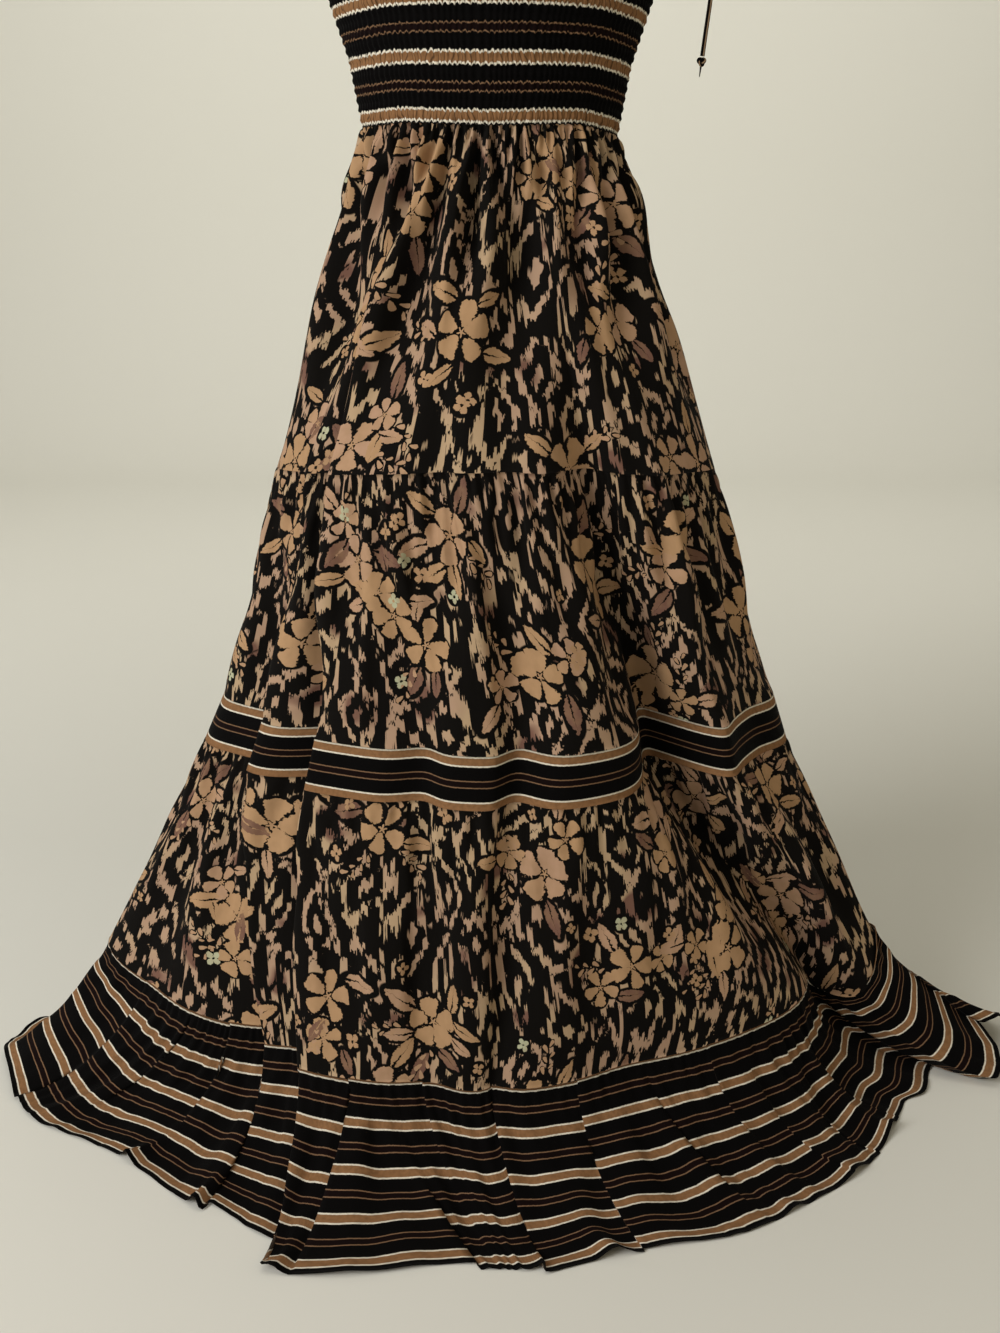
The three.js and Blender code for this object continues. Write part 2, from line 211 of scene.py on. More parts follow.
def ring_points(shape, level, angles):
    """Points of a ring at angles from the front, in metres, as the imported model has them."""
    sine = np.sin(np.radians(angles))
    cosine = np.cos(np.radians(angles))
    facing = cosine > 0
    depth = np.where(facing, shape["front"], shape["back"])
    height = np.where(facing, shape["z_front"], shape["z_back"])
    power = np.where(facing, shape["power"], shape["back_power"])
    across = signed_power(sine, 2 / power)
    forward = signed_power(cosine, 2 / power)
    out_x = signed_power(across, power - 1) / shape["half"]
    out_y = signed_power(forward, power - 1) / depth
    reach = fold_reach(angles, level) / np.hypot(out_x, out_y)
    x = shape["centre"] + shape["half"] * across + out_x * reach
    y = -depth * forward - out_y * reach
    z = mix(shape["z_side"], height, cosine**2)
    return np.stack([x, y, z], -1) * MM


# ---------------- grids of cloth
# How far the cloth on the right of each sharp fold has slid down past the left, by level, in millimetres.
SHARP_SLIDES = {
    "left second": (0, 1, 4, 18, 8),
    "left edge": (0, 1, 5, 16, 30),
    "right flap": (0, 0, 0, 0, 22),
}

# Tucks in the ruffle, where the cloth on one side lies over the other. The side on top is 1 for the right and
# -1 for the left. A slide is how far the right side has slid down past the left, in millimetres.
TUCKS = [
    # angles and slides at its top, quarters and hem, side on top, widths of the left and right flanks
    ((-66, -69, -72.8, -71, -68.5), (-2, -5, -7, -6, -4), 1, 40, 40),
    ((-53.3, -55, -59, -62, -63), (-1, -4, -3, -1, 0), 1, 30, 30),
    ((-46, -45.5, -47, -48.5, -48.7), (-3, -6, -4, 1, 3), 1, 30, 12),
    ((-25.3, -25, -25.2, -28, -26), (-3, -9, -11, -7, 0), 1, 40, 35),
    ((-20, -19, -18, -14.5, -7.8), (0, 0, 0, 6, 8), -1, 45, 40),
    ((-15.2, -14.5, -13.5, -12, -5), (1.5, 1.5, 1, 0, 0), 1, 25, 25),
    ((1.5, 8.2, 9.3, 7.2, 5.6), (1, 6, 9, 10, 9), 1, 18, 70),
    ((18.5, 19.8, 20.7, 19.8, 18), (-2, -5, -10, -9, -4), 1, 32, 26),
    ((29, 29.5, 30, 31, 31.5), (0, 2, 4, 2, 0), -1, 25, 25),
    ((38.5, 39.3, 39.5, 39, 38.5), (-1, -3, -3, -1, 0), 1, 14, 12),
    ((44, 44, 43.3, 43, 42.5), (-1, -1, -2, -3, -1), 1, 12, 12),
    ((50, 49, 48.5, 48, 47.5), (0, 0, -1, -4, -2), 1, 14, 10),
    ((57, 57, 56, 55, 54), (-1, -3, -1.5, -2, -1), 1, 12, 12),
]
OVERLAP = 5.0  # how far the upper cloth reaches over the lower at a step, in millimetres
OVERLAP_FADE = 12.0  # how far from the step that reach fades
FULL_SLIDE = 3.0  # cloth that has slid this far lies over the other by the whole overlap
FOLD_LIFT = 2.5  # how far a sharp fold's upper side stands off the lower
TUCK_LIFT = 1.6  # and a tuck's
STEP_FLANK = 30  # width of a flank of a sharp fold or a back tuck

# How far the gathers and folds lift the seams at the waist and over the ruffle, in millimetres, by angle.
WAIST_WAVE = [(-90, -6), (-67, -6.5), (-56, -5.7), (-41, -4), (-21, -6), (0, -7.5), (25, -6.2), (43, -5.5)]
WAIST_WAVE += [(60, -10), (82, -14), (90, -14), (180, -4), (270, -6)]
RUFFLE_WAVE = [(-90, 14), (-70, 0), (62, 0), (69, -12), (74, -60), (80, -14), (88, 18), (96, 22), (130, 0)]
RUFFLE_WAVE += [(270, 14)]


def running_length(points):
    """The length along a line of points, from its first to each."""
    return np.concatenate([[0], np.cumsum(np.linalg.norm(np.diff(points, axis=0), axis=1))])


def half_ring(shape, level, start, columns, guides, seats):
    """Half a ring's columns and their angles, without the last. Each guide falls just right of its seat."""
    inside = [(angle, seat) for angle, seat in zip(guides, seats) if start < angle < start + 180]
    steps = [edge for angle, _ in inside for edge in (angle, angle + STEP_ANGLE)]
    angles = np.sort(np.concatenate([start + np.linspace(0, 180, ARC_STEPS + 1), steps]))
    fine = ring_points(shape, level, angles)
    run = running_length(fine[:, :2])
    marks = [(0, 0.0), (columns, run[-1])]
    for angle, seat in inside:
        marks.append((seat + 0.5, float(np.interp([angle, angle + STEP_ANGLE], angles, run).mean())))
    marks.sort()
    targets = np.interp(np.arange(columns), *zip(*marks))
    points = np.stack([np.interp(targets, run, fine[:, i]) for i in range(3)], -1)
    return points, np.interp(targets, run, angles)


def seats_of(shape, level, columns, guides):
    """The column just left of each guide angle in its own half of an evenly divided ring, no two the same."""
    seats = {}
    for start in (-90, 90):
        angles = start + np.linspace(0, 180, ARC_STEPS + 1)
        fine = ring_points(shape, level, angles)
        run = running_length(fine[:, :2])
        lowest = 2
        for guide in sorted(guide for guide in guides if start < guide < start + 180):
            seats[guide] = max(lowest, int(np.interp(guide, angles, run) / run[-1] * columns // 2))
            lowest = seats[guide] + 3
    return [seats[guide] for guide in guides]


class Cloth:
    """A closed piece of cloth: its grid of points, row by row down it, and the angle of each column."""

    def __init__(self, shapes, levels, columns, guides=None):
        self.rows, self.columns = len(shapes), columns
        self.levels = levels
        self.guides = np.zeros((0, self.rows)) if guides is None else guides
        middle = self.rows // 2
        seats = seats_of(shapes[middle], levels[middle], columns, list(self.guides[:, middle]))
        points, angles = [], []
        for shape, level, row_guides in zip(shapes, levels, self.guides.T):
            parts = [half_ring(shape, level, start, columns // 2, row_guides, seats) for start in (-90, 90)]
            points.append(np.concatenate([part[0] for part in parts]))
            angles.append(np.concatenate([part[1] for part in parts]))
        self.grid = np.stack(points)
        self.angles = np.stack(angles)
        self.shares = np.linspace(0, 1, self.rows)
        self.seats = [seat + columns // 2 * (guide[middle] > 90) for seat, guide in zip(seats, self.guides)]

    def runs(self):
        """Plan length along each row, from its first column."""
        step = np.linalg.norm(np.diff(self.grid[:, :, :2], axis=1), axis=2)
        return np.concatenate([np.zeros((self.rows, 1)), np.cumsum(step, axis=1)], axis=1)

    def frame(self):
        """Unit vectors out of the cloth, along its rows and down its columns, averaged over near columns."""
        along = np.roll(self.grid, -1, axis=1) - np.roll(self.grid, 1, axis=1)
        down = np.gradient(self.grid, axis=0)
        vectors = []
        for vector in (np.cross(down, along), along, down):
            vector = vector / np.maximum(np.linalg.norm(vector, axis=2, keepdims=True), 1e-9)
            total = sum(np.roll(vector, shift, axis=1) for shift in range(-5, 6))
            vectors.append(total / np.linalg.norm(total, axis=2, keepdims=True))
        return vectors

    def lap(self, index, slides, top, lift, left, right):
        """Lays the cloth on one side of a guide over the other, and slides the two past each other."""
        out, along, down = self.frame()
        runs = self.runs() / MM
        seat = self.seats[index]
        distance = runs - (runs[:, seat : seat + 1] + runs[:, seat + 1 : seat + 2]) / 2
        side = np.where(np.arange(self.columns) > seat, 1, -1)[None, :]
        flank = np.where(side > 0, right, left)
        fade = np.exp(-np.abs(distance) / flank) * (np.abs(distance) < 5 * flank)
        over = (side == top) * np.clip(np.abs(slides) / FULL_SLIDE, 0, 1)[:, None]
        near = np.exp(-np.abs(distance) / OVERLAP_FADE)
        move = out * (fade * over * lift)[..., None] - along * (near * over * side * OVERLAP)[..., None]
        move = move + down * (side / 2 * fade * slides[:, None])[..., None]
        self.grid = self.grid + move * MM


def back_tucks(rng):
    """Small tucks round the back of the ruffle, a few degrees apart."""
    tucks = []
    place = 92.0
    while place < 262:
        size = rng.choice([-1, 1]) * rng.uniform(1.5, 7)
        slides = size * np.array([0.3, 0.7, 1, 0.9, 0.5])
        places = place + np.cumsum(rng.uniform(-0.8, 0.8, 5))
        tucks.append((places, slides, rng.choice([-1, 1]), STEP_FLANK, STEP_FLANK))
        place += rng.uniform(6, 15)
    return tucks


def tier_cloth(top, bottom, levels, rows, columns, tucks=()):
    """The cloth between two sections, with its sharp folds and tucks laid over."""
    a, b = section(top), section(bottom)
    shares = np.linspace(0, 1, rows)
    row_levels = mix(*levels, shares)
    sharp = [fold for fold in FOLDS if fold[0] in SHARP_SLIDES]
    guides = [np.interp(row_levels, LEVELS, places) for _, places, _, _, _ in sharp]
    guides += [np.interp(shares, QUARTERS, tuck[0]) for tuck in tucks]
    cloth = Cloth([mix_sections(a, b, share) for share in shares], row_levels, columns, np.array(guides))
    if tucks:
        spread(cloth)
    for index, fold in enumerate(sharp):
        slides = np.interp(row_levels, LEVELS, SHARP_SLIDES[fold[0]])
        cloth.lap(index, slides, 1, FOLD_LIFT, STEP_FLANK, STEP_FLANK)
    for index, (_, slides, side, left, right) in enumerate(tucks, start=len(sharp)):
        cloth.lap(index, np.interp(shares, QUARTERS, slides), side, TUCK_LIFT, left, right)
    return cloth


def spread(cloth):
    """Bends a tier into a ruffle, whose rows run out from hanging to lying."""
    top, hem = cloth.grid[0].copy(), cloth.grid[-1].copy()
    for row, share in enumerate(cloth.shares):
        cloth.grid[row] = mix(top, hem, share**RUFFLE_REACH)
        cloth.grid[row, :, 2] = LYING + (top[:, 2] - LYING) * (1 - share) ** RUFFLE_DROP


def wave_seam(cloth, wave, strength):
    """Lifts and drops the cloth by the wave of a seam, by each row's strength."""
    angles, heights = zip(*wave)
    fine = np.arange(-90, 271)
    reach, softness = 12, 3.5
    blur = np.exp(-((np.arange(-reach, reach + 1) / softness) ** 2))
    padded = np.pad(np.interp(fine, angles, heights), reach, "wrap")
    smooth = np.convolve(padded, blur / blur.sum(), "valid")
    cloth.grid[:, :, 2] += np.interp(cloth.angles, fine, smooth) * MM * strength[:, None]


# ---------------- gathers and smocking
def smooth_noise(rng, columns, wavelength_columns):
    """A periodic row of noise with about that wavelength and a spread of one."""
    spectrum = np.fft.rfft(rng.normal(size=columns))
    frequency = np.arange(len(spectrum))
    centre = columns / wavelength_columns
    spectrum *= np.exp(-(((frequency - centre) / (0.35 * centre)) ** 2))
    wave = np.fft.irfft(spectrum, columns)
    return wave / wave.std()


def ring_lengths(grid):
    return np.linalg.norm(np.roll(grid, -1, axis=1) - grid, axis=2).sum(1)


GATHER_WAVES = (7, 10, 14, 20, 29, 42, 60, 86)  # wavelengths that make up the gathers, in millimetres
HELD_TOP = 5 * MM  # the top seam flattens the gathers over this distance
HELD_HEM = 18 * MM  # and the hem or lower seam over this one


def gather(cloth, rng, drop, fullness, seam_wave, growth, strength):
    """Moves cloth in and out in waves that are fine at its top seam and broader further down.

    drop is the distance between two rows. The wavelength starts at seam_wave and grows by growth with each
    millimetre down, and fullness is how much longer the widest row is than it would hang.
    """
    lengths = ring_lengths(cloth.grid)
    spare = np.maximum(lengths.max() * fullness / lengths - 1, 0.02)
    step = lengths.mean() / cloth.columns
    below = np.arange(cloth.rows) * drop
    wanted = seam_wave * MM + growth * below
    out = np.zeros((cloth.rows, cloth.columns))
    for wave in GATHER_WAVES:
        row = np.tanh(smooth_noise(rng, cloth.columns, wave * MM / step)) * 1.2 - 0.4
        share = np.exp(-((np.log(wanted / (wave * MM)) / 0.33) ** 2))
        size = wave * MM / math.pi * np.sqrt(spare) * share * strength
        out += size[:, None] * row[None, :]
    held = np.minimum(1, below / HELD_TOP) * np.minimum(1, below[::-1] / HELD_HEM)
    cloth.grid = cloth.grid + cloth.frame()[0] * (out * held[:, None])[:, :, None]


PUCKER = 5.4  # width of a pucker of the smocking, in millimetres
PUCKERS = 123  # puckers round the bodice
SMOCK_ROW = 8.6  # distance between two elastic rows
BODICE_HEIGHT = 200  # from the waist to the neckline in front
SMOCK_STRETCH = 0.917  # the smocked stripes are this much closer on the flat than they are worn


def smock(cloth, rng):
    """Puffs the bodice out between its elastic rows, each row of puckers a little out of step with others."""
    out, _, down = cloth.frame()
    below = np.linspace(0, BODICE_HEIGHT, cloth.rows)[:, None]
    run = np.linspace(0, PUCKERS * PUCKER, cloth.columns, endpoint=False)[None, :]
    row = (below / SMOCK_ROW).astype(int)
    phase = rng.uniform(-0.9, 0.9, row.max() + 1)[row]
    drift = smooth_noise(rng, cloth.columns, 40)[None, :] * 1.3
    pucker = np.sin(2 * math.pi * run / PUCKER + phase + drift)
    between = np.sin(math.pi * below / SMOCK_ROW) ** 2
    puff = (0.4 + 0.6 * between) * pucker * 0.95 + between * 0.9
    cloth.grid = cloth.grid + out * (puff * MM)[..., None] + down * (pucker * 0.6 * MM)[..., None]


# ---------------- meshes
OTHER_WAY = [0, 3, 2, 1]  # the corners of a face the other way round


def mesh_from(name, vertices, faces):
    """A smooth mesh of quads. faces is an array of four corners a row."""
    mesh = bpy.data.meshes.new(name)
    mesh.vertices.add(len(vertices))
    mesh.vertices.foreach_set("co", np.asarray(vertices, np.float32).ravel())
    mesh.loops.add(faces.size)
    mesh.loops.foreach_set("vertex_index", faces.astype(np.int32).ravel())
    mesh.polygons.add(len(faces))
    mesh.polygons.foreach_set("loop_start", np.arange(0, faces.size, 4, dtype=np.int32))
    mesh.polygons.foreach_set("loop_total", np.full(len(faces), 4, dtype=np.int32))
    mesh.update(calc_edges=True)
    mesh.shade_smooth()
    return mesh


def corners_of(grid):
    """The corners of each face of a grid: its own point, the one below, the one across and the one beside."""
    return [grid[:-1, :-1], grid[1:, :-1], grid[1:, 1:], grid[:-1, 1:]]


def write_uv(mesh, name, values):
    layer = mesh.uv_layers.new(name=name)
    layer.uv.foreach_set("vector", values.astype(np.float32).ravel())


def shell(name, grid, cut, thickness, layers=None):
    """A closed shell of cloth on an open grid, with its cut coordinates and any layers of the print."""
    rows, columns = grid.shape[:2]
    normal = np.cross(np.gradient(grid, axis=0), np.gradient(grid, axis=1))
    normal /= np.maximum(np.linalg.norm(normal, axis=2, keepdims=True), 1e-12)
    inner = grid - normal * thickness
    inner[:, :, 2] = np.maximum(inner[:, :, 2], LOWEST_INSIDE)
    index = np.arange(rows * columns).reshape(rows, columns)
    outer_faces = np.stack(corners_of(index), -1).reshape(-1, 4)
    under = rows * columns
    inner_faces = outer_faces[:, OTHER_WAY] + under
    rim = []
    for line in (index[0, ::-1], index[:, 0], index[-1, :], index[::-1, -1]):
        p, q = line[:-1], line[1:]
        rim.append(np.stack([q, q + under, p + under, p], -1))
    faces = np.concatenate([outer_faces, inner_faces, *rim])
    mesh = mesh_from(name, np.concatenate([grid.reshape(-1, 3), inner.reshape(-1, 3)]), faces)
    inside = np.zeros(len(faces), bool)
    inside[len(outer_faces) : 2 * len(outer_faces)] = True
    inside = np.repeat(inside, 4)
    corner_cut = cut.reshape(-1, 2)[faces.ravel() % under]
    write_uv(mesh, "OFBake", baking_map(corner_cut, inside))
    write_uv(mesh, "cut", corner_cut)
    mesh.attributes.new("inside", "FLOAT", "CORNER").data.foreach_set("value", inside.astype(np.float32))
    if layers:
        write_layers(mesh, layers, len(outer_faces), len(faces))
    return link(bpy.data.objects.new(name, mesh))


def baking_map(corner_cut, inside):
    """A map of the whole shell: its right side and rim above, and its wrong side below."""
    low, high = corner_cut.min(0), corner_cut.max(0)
    unit_cut = (corner_cut - low) / (high - low)
    placed = 0.01 + unit_cut * np.array([0.98, 0.64])
    placed[:, 1] += 0.34
    placed[inside, 1] = 0.01 + unit_cut[inside, 1] * 0.31
    return placed


def write_layers(mesh, layers, outer_count, face_count):
    """The print's local coordinates on each face corner, the same on the wrong side and clear on the rim."""
    rim = np.full((face_count - 2 * outer_count, 4, 3), (FAR, FAR, 0.0))
    for name, values in layers.items():
        outer = values.reshape(outer_count, 4, 3)
        data = np.concatenate([outer, outer[:, OTHER_WAY], rim])
        attribute = mesh.attributes.new(name, "FLOAT_VECTOR", "CORNER")
        attribute.data.foreach_set("vector", data.astype(np.float32).ravel())


# ---------------- the print's chart
LAYERS = ("petals_a", "petals_b", "leaves", "small")
PETAL, LEAF, BLOSSOM, STAR = 0, 1, 2, 3
FAR = 9.0  # a place in a motif's own coordinates that it never reaches
NEAR = 1.6  # and how far from its middle a motif takes faces up, where its own edge is at about 1
PRINT_SPACING = 0.17  # distance between two clusters of flowers


def away(place, way, reach):
    """The place at that distance from another, in that direction."""
    return place[0] + reach * math.cos(way), place[1] + reach * math.sin(way)


class Chart:
    """Motifs laid on one piece's cut. Each gives the faces round it their place in its own coordinates."""

    def __init__(self, cut, rng):
        self.rng = rng
        rows, columns = cut.shape[:2]
        self.corners = np.stack(corners_of(cut), 2)
        self.centres = self.corners.mean(2)
        self.width = cut[0, -1, 0] - cut[0, 0, 0]
        self.length = cut[-1, 0, 1] - cut[0, 0, 1]
        self.origin = cut[0, 0]
        self.layers = {name: np.full((rows - 1, columns - 1, 4, 3), (FAR, FAR, 0.0)) for name in LAYERS}
        self.best = {name: np.full((rows - 1, columns - 1), NEAR) for name in LAYERS}

    def put(self, layer, place, angle, half_length, half_width, kind, tone):
        """Adds one motif: place in the cut, its long axis at an angle, and its tone from 0 to 0.99."""
        reach = NEAR * max(half_length, half_width) + 4 * MM
        c0, c1 = np.searchsorted(self.centres[0, :, 0], [place[0] - reach, place[0] + reach])
        r0, r1 = np.searchsorted(self.centres[:, 0, 1], [place[1] - reach, place[1] + reach])
        if c0 >= c1 or r0 >= r1:
            return
        axis = np.array([math.cos(angle), math.sin(angle)])
        side = np.array([-axis[1], axis[0]])

        def local(points):
            offset = points - np.array(place)
            return np.stack([offset @ axis / half_length, offset @ side / half_width], -1)

        window = (slice(r0, r1), slice(c0, c1))
        distance = np.linalg.norm(local(self.centres[window]), axis=-1)
        closer = distance < self.best[layer][window]
        self.best[layer][window][closer] = distance[closer]
        values = self.layers[layer][window]
        values[closer, :, :2] = local(self.corners[window])[closer]
        values[closer, :, 2] = kind + tone

    def flower(self, place, radius):
        """Five uneven petals round a star."""
        rng = self.rng
        turn = rng.uniform(0, 2 * math.pi)
        base_tone = rng.choice([0.05, 0.2, 0.45])
        broad = rng.uniform(0.46, 0.58)
        for petal in range(5):
            angle = turn + 2 * math.pi * (petal + rng.uniform(-0.10, 0.10)) / 5
            length = radius * rng.uniform(0.38, 0.48)
            width = radius * broad * rng.uniform(0.70, 1.05)
            middle = radius * rng.uniform(0.56, 0.62)
            tone = min(0.6, max(0.02, base_tone + rng.uniform(-0.12, 0.12)))
            self.put(LAYERS[petal % 2], away(place, angle, middle), angle, length, width, PETAL, tone)
        self.put("small", place, turn + 0.6, radius * 0.22, radius * 0.22, STAR, 0.3)

    def leaf(self, place, angle, length):
        tone = self.rng.choice([0.1, 0.5, 0.8], p=[0.4, 0.32, 0.28])
        self.put("leaves", place, angle, length / 2, length * self.rng.uniform(0.20, 0.27), LEAF, tone)

    def blossom(self, place, radius, tone):
        self.put("small", place, self.rng.uniform(0, 6), radius, radius, BLOSSOM, tone)

    def spray(self, place, angle, buds=6):
        """A curved twig of small buds on alternate sides."""
        rng = self.rng
        bend = rng.uniform(-0.4, 0.4)
        for bud in range(buds):
            way = angle + bend * bud / buds
            along = 6.0 * MM * (bud + 0.5)
            side = (1 if bud % 2 else -1) * 3.6 * MM
            x = place[0] + along * math.cos(way) - side * math.sin(way)
            y = place[1] + along * math.sin(way) + side * math.cos(way)
            size = rng.uniform(2.4, 3.8) * MM
            self.put("small", (x, y), way + 0.6 * np.sign(side), size * 1.3, size * 0.8, PETAL, 0.4)

    def cluster(self, place):
        """A bunch of large and middling flowers with leaves, blossoms and twigs round it."""
        rng = self.rng
        angle = rng.uniform(0, 2 * math.pi)
        spots = []
        for flower in range(rng.integers(1, 4)):
            radius = rng.uniform(23, 29) * MM if flower == 0 else rng.uniform(15, 22) * MM
            distance = 0 if flower == 0 else spots[0][2] + radius * 0.92
            way = angle + flower * rng.uniform(1.7, 2.6)
            spot = away(place, way, distance)
            self.flower(spot, radius)
            spots.append((*spot, radius))
        for leaf in range(rng.integers(3, 7)):
            *flower, radius = spots[leaf % len(spots)]
            way = angle + leaf * 1.35 + rng.uniform(-0.3, 0.3)
            length = rng.uniform(26, 40) * MM
            foot = away(flower, way, radius + 0.47 * length)
            self.leaf(foot, way + rng.uniform(-0.6, 0.6), length)
        for twig in range(rng.integers(1, 3)):
            *flower, radius = spots[twig % len(spots)]
            way = rng.uniform(0, 6)
            self.spray(away(flower, way, radius + 5 * MM), way)
        for _ in range(3):
            way = rng.uniform(0, 6)
            reach = rng.uniform(45, 66) * MM
            sage = 0.92 if rng.uniform() < 0.16 else 0.3
            size = rng.uniform(6.5, 10) * MM
            self.blossom(away(place, way, reach), size, sage)

    def scatter(self, spacing):
        """Clusters in staggered rows, each moved about."""
        rng = self.rng
        row_step = 0.8
        x, y = self.origin + rng.uniform(-0.5, 0, 2) * spacing
        for row in range(int(self.length / spacing / row_step) + 2):
            for column in range(int(self.width / spacing) + 2):
                across = column + 0.5 * (row % 2) + rng.uniform(-0.25, 0.25)
                down = row * row_step + rng.uniform(-0.2, 0.2)
                self.cluster((x + across * spacing, y + down * spacing))


# ---------------- shader arithmetic
class Value:
    """A shader value. Python arithmetic on it makes Math nodes."""

    tree = None

    def __init__(self, socket):
        self.socket = socket

    @classmethod
    def math(cls, operation, *values, clamp=False):
        made = cls.tree.nodes.new("ShaderNodeMath")
        made.operation = operation
        made.use_clamp = clamp
        for slot, value in zip(made.inputs, values):
            feed(slot, value)
        return cls(made.outputs[0])


OPERATIONS = {"add": "ADD", "sub": "SUBTRACT", "mul": "MULTIPLY", "truediv": "DIVIDE", "pow": "POWER"}
for method, operation in OPERATIONS.items():
    setattr(Value, f"__{method}__", lambda a, b, made=operation: Value.math(made, a, b))
    setattr(Value, f"__r{method}__", lambda a, b, made=operation: Value.math(made, b, a))


def feed(slot, value):
    """Links a shader value to a node's input, or sets the input to a plain one."""
    if isinstance(value, Value):
        Value.tree.links.new(value.socket, slot)
    else:
        slot.default_value = value


def absolute(value):
    return Value.math("ABSOLUTE", value)


def smaller(a, b):
    return Value.math("MINIMUM", a, b)


def larger(a, b):
    return Value.math("MAXIMUM", a, b)


def whole(value):
    return Value.math("FLOOR", value)


def rising(value, start, end):
    """0 at start and 1 at end, and no further either way."""
    return Value.math("MULTIPLY", value - start, 1 / (end - start), clamp=True)


def wrapped(value, half):
    """value brought between -half and half, as on a repeating chart."""
    return Value.math("WRAP", value, half, -half)


def is_kind(code, kind):
    return Value.math("COMPARE", code, kind + 0.5, 0.5)


def new_material(name):
    material = bpy.data.materials.new(name)
    material.use_nodes = True
    Value.tree = material.node_tree
    return material, material.node_tree.nodes["Principled BSDF"]


def node(kind, inputs=None, **settings):
    made = Value.tree.nodes.new(kind)
    for key, value in settings.items():
        setattr(made, key, value)
    for key, value in (inputs or {}).items():
        feed(made.inputs[key], value)
    return made


def combined(x, y, z=0.0):
    return Value(node("ShaderNodeCombineXYZ", {"X": x, "Y": y, "Z": z}).outputs[0])


def separated(socket):
    parts = node("ShaderNodeSeparateXYZ", {"Vector": Value(socket)})
    return [Value(out) for out in parts.outputs]


def cut_coordinates():
    """Places on the cut cloth, in millimetres: across and down."""
    x, y, _ = separated(node("ShaderNodeUVMap", uv_map="cut").outputs[0])
    return x * 1000, y * 1000


def noise(x, y, detail, seed):
    made = node("ShaderNodeTexNoise", {"Vector": combined(x, y, seed), "Scale": 1.0, "Detail": detail})
    return Value(made.outputs[0])


def wobble(size, x, y, detail, seed):
    """Noise of that size about zero."""
    return (noise(x, y, detail, seed) - 0.5) * size


def random_step(x, seed):
    """A random number from 0 to 1 for each whole step of x."""
    made = node("ShaderNodeTexWhiteNoise", {"Vector": combined(whole(x), seed)}, noise_dimensions="2D")
    return Value(made.outputs[0])


def colour_mix(share, a, b):
    """From colour a to colour b by share. Each is a hex string or a node's colour."""
    made = node("ShaderNodeMix", data_type="RGBA")
    feed(made.inputs["Factor"], share)
    for slot, colour in ((6, a), (7, b)):
        feed(made.inputs[slot], linear(colour) if isinstance(colour, str) else colour)
    return Value(made.outputs[2])


def bump(height, distance, strength, below=None):
    made = node("ShaderNodeBump", {"Height": height, "Distance": distance, "Strength": strength})
    if below is not None:
        feed(made.inputs["Normal"], below)
    return Value(made.outputs[0])


WARP_PITCH = 0.55  # distance between two yarns along the cloth, in millimetres
WEFT_PITCH = 0.6  # and between two across it


def finish_cloth(shader, colour, u, v, creasing):
    """A matte crepe: fine crossed yarns, soft creases, a dull wrong side and a faint sheen."""
    inside = Value(node("ShaderNodeAttribute", attribute_name="inside").outputs["Fac"])
    colour = colour_mix(inside * 0.5, colour, "4A3F36")
    feed(shader.inputs["Base Color"], colour)
    shader.inputs["Roughness"].default_value = 0.9
    shader.inputs["Specular IOR Level"].default_value = 0.06
    shader.inputs["Sheen Weight"].default_value = 0.01
    shader.inputs["Sheen Roughness"].default_value = 0.5
    warp = Value.math("SINE", u * (2 * math.pi / WARP_PITCH))
    weft = Value.math("SINE", v * (2 * math.pi / WEFT_PITCH))
    crepe = noise(u * 0.9, v * 0.9, 3.0, 4.0)
    weave = bump(warp * weft * 0.5 + crepe * 1.5, 0.00012, 0.5)
    creases = noise(u * 0.045, v * 0.012, 2.0, 9.0)
    feed(shader.inputs["Normal"], bump(creases, 0.004, creasing, weave))


# ---------------- materials
def cloth_material(name, colouring, creasing):
    """A cloth material, whose colour is worked out by colouring from places on the cut cloth."""
    material, shader = new_material(name)
    u, v = cut_coordinates()
    finish_cloth(shader, colouring(u, v), u, v, creasing)
    return material


BUNDLE = 4.2  # width of a bundle of the ikat's yarns, in millimetres
IKAT_PERIOD = 46  # distance between two columns of its rings
GROUND = "0F0D0B"
TAN = "B28F6B"
PINK_TAN = "B5937B"
STROKE = "B59B7C"
PINK_STROKE = "AE9078"
PLUM = "76574A"
SAGE = "B4B698"
DARK_TAN = "9A7B5B"


def motif_layer(name, u, v):
    """One layer of the print: whether a motif covers the point, how near one is, and its tone."""
    x, y, code = separated(node("ShaderNodeAttribute", attribute_name=name).outputs["Vector"])
    wide_x = wobble(0.55, u * 0.10, v * 0.10, 1.0, 71.0)
    wide_y = wobble(0.40, u * 0.10, v * 0.10, 1.0, 75.0)
    fine_x = wobble(0.34, u * 0.42, v * 0.30, 2.0, 21.0)
    fine_y = wobble(0.50, u * 0.30, v * 0.42, 2.0, 33.0)
    near = rising(Value.math("SQRT", x * x + y * y), 1.36, 1.26)
    x = x + wide_x + fine_x
    y = y + wide_y + fine_y
    side = absolute(y)
    span = larger(1 - x * x, 0.0)
    blunt = larger(1 - x**4, 0.0) ** 0.5
    petal = blunt * (0.28 + 0.76 * larger(x * 0.5 + 0.5, 0.0) ** 0.8) - side
    leaf_edge = (span**0.8) * (0.92 - 0.16 * x) - side
    vein = side - larger(0.35 - x, 0.0) * 0.12
    leaf = smaller(leaf_edge, vein * 2.2)
    radius = Value.math("SQRT", x * x + y * y)
    turn = Value.math("ARCTAN2", y, x)
    lobes = absolute(Value.math("COSINE", turn * 2.5))
    rounded = absolute(Value.math("COSINE", turn * 2)) ** 0.45
    blossom = smaller(0.10 + 0.86 * rounded - radius, radius - 0.14)
    star = 0.30 + 0.60 * lobes**3 - radius
    edge = (
        petal * is_kind(code, PETAL)
        + leaf * is_kind(code, LEAF)
        + blossom * is_kind(code, BLOSSOM)
        + star * is_kind(code, STAR)
    )
    return rising(edge, 0.0, 0.05), near, Value.math("FRACT", code)


